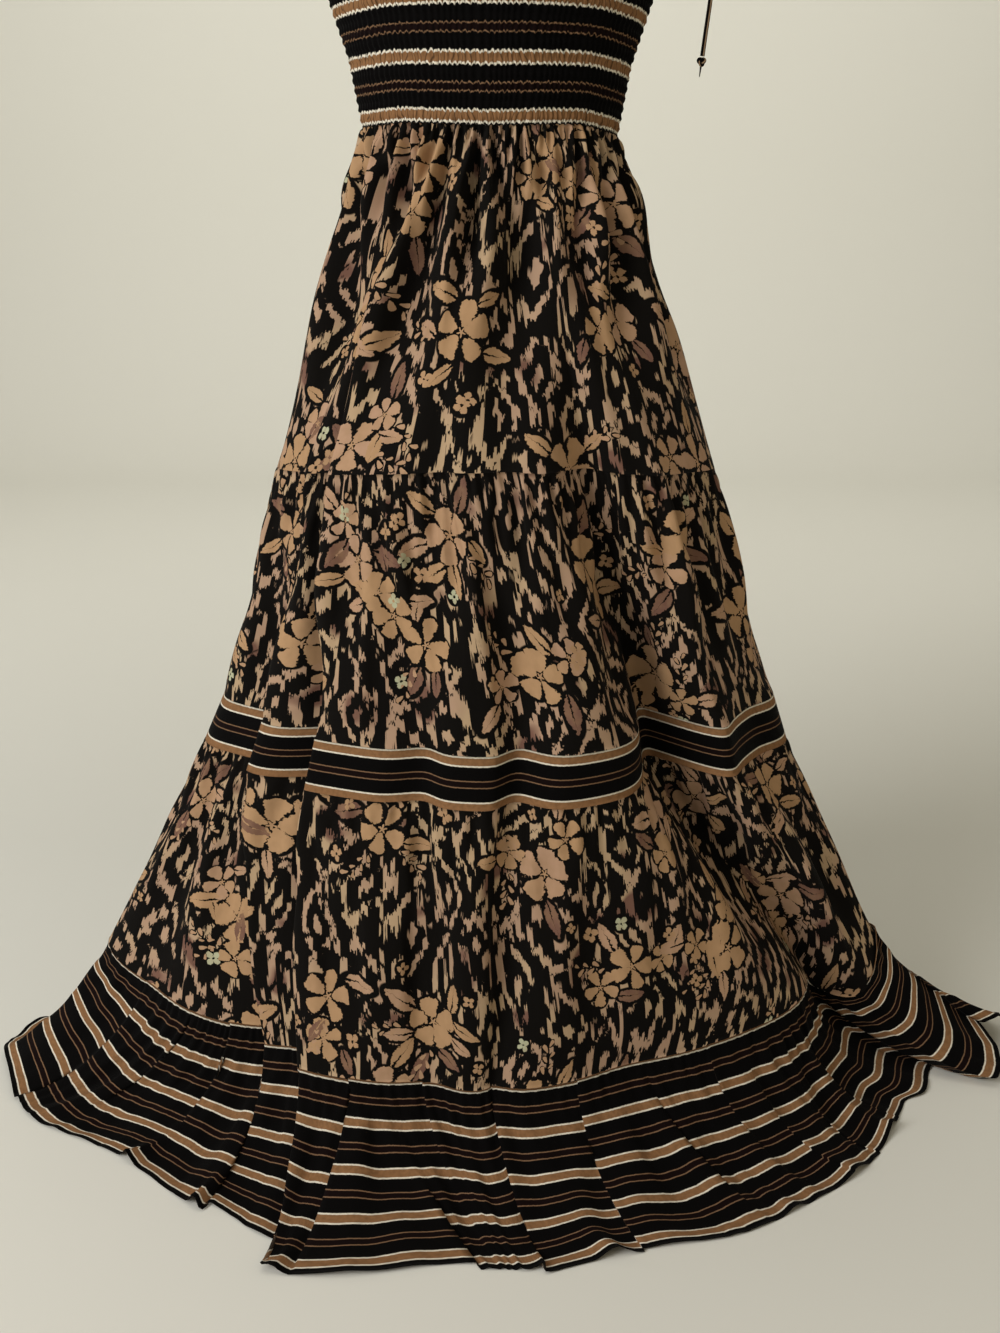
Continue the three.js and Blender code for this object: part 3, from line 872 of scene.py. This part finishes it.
def ikat(u, v):
    """Rings broken into upright dashes: each bundle of yarns, and each yarn, has slipped up or down."""
    half = IKAT_PERIOD / 2
    drift = u + wobble(6, u * 0.13, v * 0.012, 1.0, 2.0)
    bundle = whole(drift / BUNDLE)
    slip = (random_step(drift / BUNDLE, 3.0) - 0.5) * 12 + (random_step(u / 1.1, 5.0) - 0.5) * 6
    bent_x = (bundle + 0.5) * BUNDLE * 0.65 + u * 0.35 + wobble(66, u * 0.009, v * 0.010, 1.0, 12.0)
    bent_y = v + slip + wobble(70, u * 0.010, v * 0.008, 1.0, 8.0)
    odd = Value.math("FLOORED_MODULO", whole(bent_x / IKAT_PERIOD + 0.5), 2.0)
    across = absolute(wrapped(bent_x, half)) / half
    along = absolute(wrapped(bent_y + odd * IKAT_PERIOD, IKAT_PERIOD)) / IKAT_PERIOD
    ring = (across**1.2 + along**1.2) ** 0.83
    keep = rising(noise(bundle * 0.5, bent_y * 0.040, 1.0, 15.0), 0.44, 0.455)
    stroke = rising(absolute(ring - 0.84), 0.165, 0.145) * keep
    core = rising(ring, 0.25, 0.23)
    flames = rising(noise(bundle * 0.6, bent_y * 0.028, 1.0, 18.0), 0.615, 0.63)
    return larger(larger(stroke, core), flames * rising(ring, 1.0, 1.06))


def printed_crepe(u, v):
    """Flowers and leaves, with the ikat on the dark ground between them."""
    blotch = noise(u * 0.09, v * 0.06, 2.0, 40.0)
    layers = [motif_layer(name, u, v) for name in LAYERS]
    clear = layers[0][1]
    for _, near, _ in layers[1:]:
        clear = larger(clear, near)
    tint = noise(u * 0.012, v * 0.012, 1.0, 44.0)
    stroke_colour = colour_mix(rising(tint, 0.40, 0.54), STROKE, PINK_STROKE)
    stroke_colour = colour_mix(rising(noise(u * 0.02, v * 0.02, 1.0, 50.0), 0.60, 0.68), stroke_colour, PLUM)
    colour = colour_mix(ikat(u, v) * (1 - clear), GROUND, stroke_colour)
    for covered, _, tone in layers:
        fill = TAN
        for start, end, paint in ((0.25, 0.6, PINK_TAN), (0.62, 0.78, PLUM), (0.84, 0.9, SAGE)):
            fill = colour_mix(rising(tone, start, end), fill, paint)
        fill = colour_mix(rising(blotch, 0.38, 0.72) * 0.45, fill, DARK_TAN)
        colour = colour_mix(covered, colour, fill)
    return colour


STRIPE_PERIOD = 43.0
STRIPE_SOFTNESS = 0.18  # half the width of the edge between two stripes
TAN_END, IVORY_END, BLACK_END, LINE_END = 3.5, 5.0, 17.8, 18.9  # from the middle of a tan stripe
STRIPE_BLACK = "060505"
STRIPE_TAN = "8B6645"
STRIPE_IVORY = "E4DDCC"
STRIPE_LINE = "7E624A"
STRIPE_PLUM = "140908"


def stripe_colour(v, ivory_end=IVORY_END):
    """Tan, ivory, black, a fine line and plum, from the middle of a tan stripe and mirrored about it."""
    place = absolute(wrapped(v, STRIPE_PERIOD / 2))
    edges = (TAN_END, ivory_end, BLACK_END, LINE_END)
    colour = STRIPE_TAN
    for edge, beyond in zip(edges, (STRIPE_IVORY, STRIPE_BLACK, STRIPE_LINE, STRIPE_PLUM)):
        colour = colour_mix(rising(place, edge - STRIPE_SOFTNESS, edge + STRIPE_SOFTNESS), colour, beyond)
    return colour


def striped_crepe(u, v):
    colour = stripe_colour(v + wobble(0.8, u * 0.35, v * 0.05, 2.0, 60.0))
    worn = noise(u * 0.25, v * 0.25, 3.0, 64.0)
    return colour_mix(rising(worn, 0.35, 0.75) * 0.3, colour, STRIPE_BLACK)


def smocked_stripe(u, v):
    """The striped cloth drawn up on elastic rows, which bead the edges of its stripes, with painted shade
    darkening the trough of each pucker.
    """
    phase = u * (math.pi / PUCKER) + noise(u * 0.05, v * 0.04, 1.0, 62.0) * 12
    bead = absolute(Value.math("SINE", phase))
    wander = wobble(2.6, u * 0.5, v * 0.08, 2.0, 60.0)
    colour = stripe_colour(v * SMOCK_STRETCH + bead * 1.1 + wander, 5.3)
    # Painted shade: the colour darkens towards black in the trough of each pucker, where the fold would be
    # shaded.
    return colour_mix(rising(bead, 0.52, 0.05) * 0.7, colour, STRIPE_BLACK)


def tie_cloth(u, v):
    """A narrow tube of the striped cloth: dark, with a lighter edge down each side."""
    edge = rising(absolute(wrapped(u - 2.0, 4.0)), 3.2, 3.5)
    colour = colour_mix(edge, STRIPE_BLACK, "A58A6E")
    return colour_mix(rising(noise(u * 0.5, v * 0.06, 2.0, 5.0), 0.5, 0.7) * 0.4, colour, "3A271C")


# ---------------- cloth pieces
def halves(grid):
    """The front and back of a closed grid, each with both of its side seam columns."""
    half = grid.shape[1] // 2
    closed = np.concatenate([grid, grid[:, :1]], axis=1)
    return {"front": closed[:, : half + 1], "back": closed[:, half:]}


def make_pieces(name, cloth, depth, v_start, material, printed=False, thickness=CLOTH):
    """The front and back shells of one tier. depth is its cut's, which starts at v_start on the stripes."""
    rng = np.random.default_rng([SEED, sum(map(ord, name))])
    width = float(ring_lengths(cloth.grid).max()) / 2
    heights = v_start + np.linspace(0, depth, cloth.rows)
    for side, half in halves(cloth.grid).items():
        across = rng.uniform(0, 2) + np.linspace(0, width, half.shape[1])
        cut = np.stack(np.meshgrid(across, heights), -1)
        layers = None
        if printed:
            chart = Chart(cut, rng)
            chart.scatter(PRINT_SPACING)
            layers = chart.layers
        obj = shell(f"{name}_{side}_cloth", half, cut, thickness, layers)
        obj.data.materials.append(material)
        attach(obj, "root")
        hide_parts(f"{name}_{side}")


def make_tiers():
    material = cloth_material("printed_crepe", printed_crepe, 0.35)
    tiers = [
        # name, top, bottom, levels, cut depth, rows, columns, fullness, seam wave, growth, strength
        ("tier1", "waist", "tier_seam", (0, 1), 0.320, 80, 448, 1.04, 12, 0.40, 0.75),
        ("tier2", "tier_seam", "band_top", (1, 2), 0.262, 66, 512, 1.04, 10, 0.36, 0.65),
        ("tier3", "band_bottom", "ruffle_seam", (2, 3), 0.290, 72, 640, 1.03, 16, 0.40, 0.55),
    ]
    for name, top, bottom, levels, depth, rows, columns, fullness, seam_wave, growth, strength in tiers:
        cloth = tier_cloth(top, bottom, levels, rows, columns)
        rng = np.random.default_rng([SEED, rows, columns])
        gather(cloth, rng, depth / (rows - 1), fullness, seam_wave, growth, strength)
        if top == "waist":
            wave_seam(cloth, WAIST_WAVE, np.clip(1 - 4 * cloth.shares, 0, 1))
        if bottom == "ruffle_seam":
            wave_seam(cloth, RUFFLE_WAVE, cloth.shares**3)
        make_pieces(name, cloth, depth, 0, material, printed=True)


# Places where the hem stands up off the floor.
HEM_RISES = [
    # angles at the middle of the ruffle and at the hem, half width, height and length in millimetres
    (-49, -48.7, 9, 14, 45),
    (-39.5, -38.5, 6, 14, 60),
    (-28, -27.8, 9, 10, 28),
    (6, 5.2, 9, 5, 40),
    (14, 15, 14, 8, 60),
    (51, 51.5, 12, 8, 25),
    (43, 43.5, 14, 5, 40),
    (72, 72, 30, 12, 90),
    (86, 86, 40, 8, 80),
    (110, 108, 30, 9, 90),
    (150, 151, 18, 10, 80),
    (196, 198, 26, 9, 90),
    (232, 230, 20, 11, 70),
    (255, 257, 16, 8, 60),
]
RUFFLE_DEPTH = 180.0
BAND_DEPTH = 0.0515
HEM_COLUMN = 4.2  # about the width of a column at the hem, in millimetres


def lift_hem(cloth, rng):
    """Raises the hem where it stands up off the floor, and lets it wave a little everywhere."""
    below = cloth.shares * RUFFLE_DEPTH
    runs = cloth.runs() / MM
    rise = np.zeros_like(runs)
    for middle, hem, half_width, height, length in HEM_RISES:
        places = np.interp(cloth.shares, [0.5, 1], [middle, hem])
        reach = np.clip((below - (RUFFLE_DEPTH - length)) / length, 0, 1) ** 1.5
        for row in range(cloth.rows):
            centre = np.interp(places[row], cloth.angles[row], runs[row])
            rise[row] += height * reach[row] * np.exp(-(((runs[row] - centre) / half_width) ** 2))
    for wave, height in ((60, 1.4), (110, 2.2), (32, 0.7)):
        row = smooth_noise(rng, cloth.columns, wave / HEM_COLUMN)
        rise += height * np.maximum(row, 0)[None, :] * (cloth.shares**1.2)[:, None]
    cloth.grid[:, :, 2] += rise * MM


# The crests of the ruffle's two sides, in degrees and millimetres.
CRESTS = [
    # angles and heights at its top, quarters and hem, reach to the left, reach to the right
    ((84, 88, 91, 93, 95), (10, 44, 62, 58, 36), 55, 38),
    ((-86, -86, -85, -84, -82), (0, 34, 44, 34, 10), 36, 70),
]


def raise_crests(cloth):
    """Lifts the sides of the ruffle into tents that hide the cloth behind them."""
    runs = cloth.runs() / MM
    for places, heights, left, right in CRESTS:
        for row, share in enumerate(cloth.shares):
            place = np.interp(share, QUARTERS, places)
            offset = runs[row] - np.interp(place, cloth.angles[row], runs[row])
            offset -= runs[row, -1] * np.round(offset / runs[row, -1])
            reach = np.abs(offset) / np.where(offset < 0, left, right)
            cloth.grid[row, :, 2] += np.interp(share, QUARTERS, heights) * np.exp(-(reach**1.5)) * MM


def make_striped():
    material = cloth_material("striped_crepe", striped_crepe, 0.30)
    band = tier_cloth("band_top", "band_bottom", (2, 2), 14, 512)
    make_pieces("band", band, BAND_DEPTH, -0.0052, material)
    rng = np.random.default_rng([SEED, 7])
    ruffle = tier_cloth("ruffle_seam", "hem", (3, 4), 50, 832, TUCKS + back_tucks(rng))
    raise_crests(ruffle)
    wave_seam(ruffle, RUFFLE_WAVE, (1 - ruffle.shares) ** 2)
    lift_hem(ruffle, rng)
    gather(ruffle, rng, RUFFLE_DEPTH * MM / (ruffle.rows - 1), 1.0, 9, 0.5, 0.35)
    ruffle.grid[:, :, 2] = np.maximum(ruffle.grid[:, :, 2], LOWEST_OUTSIDE)
    make_pieces("ruffle", ruffle, RUFFLE_DEPTH * MM, -0.0410, material)


def make_bodice():
    rows, columns = 92, 600
    names = ("neckline", "bust", "ribs", "waist")
    tops = [SECTIONS[name][0] for name in names]
    shapes = []
    for height in np.linspace(tops[0], tops[-1], rows):
        below = max(1, next(i for i, top in enumerate(tops) if height >= top))
        share = (tops[below - 1] - height) / (tops[below - 1] - tops[below])
        shapes.append(mix_sections(section(names[below - 1]), section(names[below]), share))
    bodice = Cloth(shapes, np.zeros(rows), columns)
    smock(bodice, np.random.default_rng([SEED, 9]))
    wave_seam(bodice, WAIST_WAVE, mix(0.4, 1, bodice.shares))
    material = cloth_material("smocked_stripe", smocked_stripe, 0.15)
    depth = BODICE_HEIGHT / 1000
    make_pieces("bodice", bodice, depth, -0.1935, material, thickness=SMOCKED_CLOTH)


# ---------------- shoulder ties, in millimetres
SHOULDER = np.array([150.0, 4.0, 386.0])
KNOT_RADIUS = 7
KNOT_STEPS = 72  # steps along the tube that a knot winds
STRAP_ANGLE = 42
STRAP_WIDTH = 8
STRAP_STEPS = 48
TAIL_DIAMETER = 5
END_KNOT_RADIUS = 4.5
POINT_LENGTH = 13.2  # length of the point below an end knot
POINT_RINGS = 14
SMOCKING = 2.2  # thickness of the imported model's bodice
SEAM_GAP = 0.3  # gap between two pieces
# The route of each free end from its knot: out to the side, back and up.
TAILS = {
    "right_long": [
        (0, 0, 0), (16, 0, 5), (32, 0, 0), (46, 0, -16), (54, 0, -42), (57, -1, -80), (58.5, -2, -130),
        (58, -3, -180), (56.5, -3, -230), (53, -3, -276), (49, -3, -312), (47, -3, -330),
    ],
    "right_short": [
        (0, 0, 0), (8, 15, 4), (12, 30, -4), (14, 42, -22), (15, 48, -50), (15, 51, -84), (14, 53, -118),
    ],
    "left_long": [
        (0, 0, 0), (14, 2, 5), (29, 4, 0), (42, 6, -17), (49, 8, -42), (52, 9, -80), (53, 9, -124),
        (52, 9, -160),
    ],
    "left_short": [
        (0, 0, 0), (7, 15, 4), (11, 30, -5), (13, 41, -24), (14, 46, -52), (14, 49, -88), (13, 50, -112),
    ],
}


def unit(vector):
    return vector / np.linalg.norm(vector)


def spline(points, steps):
    """A smooth curve through points, divided evenly, and its length."""
    points = np.asarray(points, float)
    ends = np.concatenate([[2 * points[0] - points[1]], points, [2 * points[-1] - points[-2]]])
    pieces_a_span = 24
    t = np.linspace(0, 1, pieces_a_span, endpoint=False)[:, None]
    curve = []
    for i in range(1, len(ends) - 2):
        a, b, c, d = ends[i - 1 : i + 3]
        bend = (2 * a - 5 * b + 4 * c - d) * t**2 + (3 * b - a - 3 * c + d) * t**3
        curve.append(0.5 * (2 * b + (c - a) * t + bend))
    curve = np.concatenate([*curve, points[-1:]])
    run = running_length(curve)
    targets = np.linspace(0, run[-1], steps + 1)
    return np.stack([np.interp(targets, run, curve[:, i]) for i in range(3)], -1), float(run[-1])


def outline(width, height, sides=16, power=2.0):
    """A rounded outline. A power above 2 makes it squarer."""
    turns = 2 * math.pi * np.arange(sides) / sides
    x = signed_power(np.cos(turns), 2 / power)
    y = signed_power(np.sin(turns), 2 / power)
    return np.stack([x * width / 2, y * height / 2], -1)


def tube(path, outlines, side):
    """Vertices, faces and cut coordinates of a closed tube along a path. side is across its first outline."""
    tangents = np.gradient(path, axis=0)
    tangents /= np.linalg.norm(tangents, axis=1, keepdims=True)
    rings = []
    for point, tangent, shape in zip(path, tangents, outlines):
        side = unit(side - tangent * (side @ tangent))
        rings.append(point + shape[:, :1] * side + shape[:, 1:] * np.cross(tangent, side))
    rings = np.stack(rings)
    steps, around = rings.shape[:2]
    index = np.arange(steps * around).reshape(steps, around)
    index = np.concatenate([index, index[:, :1]], axis=1)
    quads = np.stack(corners_of(index), -1).reshape(-1, 4)[:, OTHER_WAY]
    closed = np.concatenate([rings[steps // 2], rings[steps // 2, :1]])
    spots = np.stack(np.meshgrid(running_length(closed), running_length(path)), -1)
    corner = np.stack(corners_of(spots), 2)[:, :, OTHER_WAY].reshape(-1, 2)
    caps = end_quads(index[0, :-1]) + [quad[::-1] for quad in end_quads(index[-1, :-1])]
    cut = np.concatenate([corner, np.ones((len(caps) * 4, 2))])
    return rings.reshape(-1, 3), np.concatenate([quads, np.array(caps)]), cut


def end_quads(loop):
    """Closes a loop of an even number of points with quads."""
    last = len(loop) - 1
    return [[loop[i], loop[last - i], loop[last - 1 - i], loop[i + 1]] for i in range(len(loop) // 2 - 1)]


def tie_piece(name, tubes, material):
    """One piece of a tie, of one or more tubes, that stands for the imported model's piece of that name."""
    vertices, faces, cuts = [], [], []
    for tube_vertices, tube_faces, cut in tubes:
        faces.append(tube_faces + sum(map(len, vertices)))
        vertices.append(tube_vertices)
        cuts.append(cut)
    mesh = mesh_from(f"{name}_cloth", np.concatenate(vertices) * MM, np.concatenate(faces))
    write_uv(mesh, "cut", np.concatenate(cuts) * MM)
    mesh.materials.append(material)
    obj = link(bpy.data.objects.new(f"{name}_cloth", mesh))
    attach(obj, "root")
    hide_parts(name)
    return obj


def make_strap(name, side, angle, knot, material):
    """A flat tape from the neckline's rim to the shoulder knot, drawn narrow where it enters the knot."""
    rim = ring_points(section("neckline"), 0, np.array([angle - 1.0, angle, angle + 1.0]) * side) / MM
    foot = rim[1]
    start = foot - unit(foot * (1, 1, 0)) * SMOCKING / 2 + (0, 0, 3 * SEAM_GAP)
    middle = (start + knot) / 2 + (side * 4, 10 * np.sign(start[1]), 4)
    end = knot - unit(knot - middle) * (KNOT_RADIUS + SEAM_GAP)
    path, length = spline([start, middle, end], STRAP_STEPS)
    shares = np.linspace(0, 1, STRAP_STEPS + 1)
    widths = STRAP_WIDTH * (1.06 - 0.35 * np.clip((shares - 0.8) / 0.2, 0, 1) ** 1.5)
    thicknesses = 2.1 + 0.25 * np.sin(shares * 23)
    outlines = [outline(width, thickness, 16, 3.0) for width, thickness in zip(widths, thicknesses)]
    strap = tie_piece(name, [tube(path, outlines, rim[2] - rim[0])], material)


def knot_tube(centre, size, diameter):
    """A tube that winds three times through itself."""
    turns = np.linspace(0, 2 * math.pi, KNOT_STEPS + 1)
    x = np.sin(turns) + 2 * np.sin(2 * turns)
    y = np.cos(turns) - 2 * np.cos(2 * turns)
    z = -1.1 * np.sin(3 * turns)
    path = np.stack([x, z, y], -1) / 3 * (size - diameter / 2) + centre
    return tube(path, [outline(diameter, diameter * 0.9, 12)] * len(path), np.array([0.0, 1, 0]))


def make_tail(name, side, knot, material):
    """The free end of a tie: a soft tube of cloth, with a knot near its end and a short point below that."""
    points = [knot + np.array(point) * (side, 1, 1) for point in TAILS[name]]
    points[0] = knot + unit(points[1] - knot) * (KNOT_RADIUS + SEAM_GAP)
    steps = 12 * len(points)
    path, length = spline(points, steps)
    across = np.array([0, 1, 0.2])
    widths = TAIL_DIAMETER * (0.96 + 0.05 * np.sin(np.linspace(0, length / 9, steps + 1)))
    cord_tube = tube(path, [outline(width, TAIL_DIAMETER * 0.84, 14) for width in widths], across)
    down = unit(path[-1] - path[-2])
    centre = path[-1] + down * (END_KNOT_RADIUS + SEAM_GAP)
    point_path = centre + down * np.linspace(0, POINT_LENGTH, POINT_RINGS)[:, None]
    point_outlines = [outline(3.6 - 0.19 * i, 2.4 - 0.12 * i, 12) for i in range(POINT_RINGS)]
    point_tube = tube(point_path, point_outlines, across)
    cord = tie_piece(f"tie_tail_{name}", [cord_tube], material)
    end = tie_piece(f"tie_end_{name}", [knot_tube(centre, END_KNOT_RADIUS + 0.3, 3.6), point_tube], material)


def make_ties():
    material = cloth_material("tie_cloth", tie_cloth, 0.2)
    for side_name, side in (("right", 1), ("left", -1)):
        knot = SHOULDER * (side, 1, 1)
        make_strap(f"strap_front_{side_name}", side, STRAP_ANGLE, knot, material)
        make_strap(f"strap_back_{side_name}", side, 180 - STRAP_ANGLE, knot, material)
        tie_piece(f"shoulder_knot_{side_name}", [knot_tube(knot, 7.6, 5.4)], material)
        make_tail(f"{side_name}_long", side, knot, material)
        make_tail(f"{side_name}_short", side, knot, material)


# ---------------- the scene
make_camera()
make_ties()
make_stage()
make_lights()
make_tiers()
make_striped()
make_bodice()
